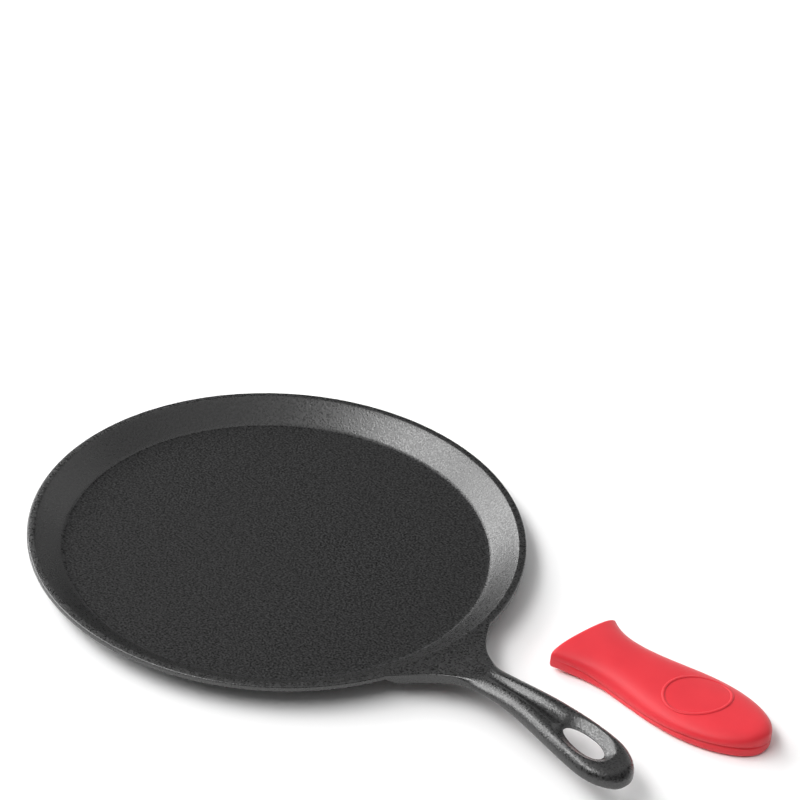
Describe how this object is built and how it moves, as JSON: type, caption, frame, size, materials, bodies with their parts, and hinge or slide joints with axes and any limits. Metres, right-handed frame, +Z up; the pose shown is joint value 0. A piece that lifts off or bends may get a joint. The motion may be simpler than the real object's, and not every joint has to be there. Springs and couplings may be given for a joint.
{
  "type": "comal",
  "caption": "Shallow round cast-iron griddle with a low sloped rim, an arched grooved handle with a hanging hole, and a soft sleeve that slips over the handle as a grip.",
  "frame": {"origin": "centre of the flat base, on the surface that the comal stands on", "axes": "+X along the handle away from the plate, +Z up out of the dish, +Y to the side where the loose sleeve lies"},
  "size_m": [0.4073, 0.2666, 0.0267],
  "materials": {
    "seasoned_iron": "pre-seasoned, dark satin with a fine sand-cast grain",
    "red_silicone": "satin moulded silicone"
  },
  "bodies": {
    "pan": {"pan": "seasoned_iron"},
    "handle_sleeve": {"handle_sleeve": "red_silicone"}
  },
  "joints": [
    {"name": "sleeve_lift", "type": "slide", "parent": "pan", "child": "handle_sleeve", "axis": [0, 0, 1], "range_m": [0, 0.12]}
  ]
}
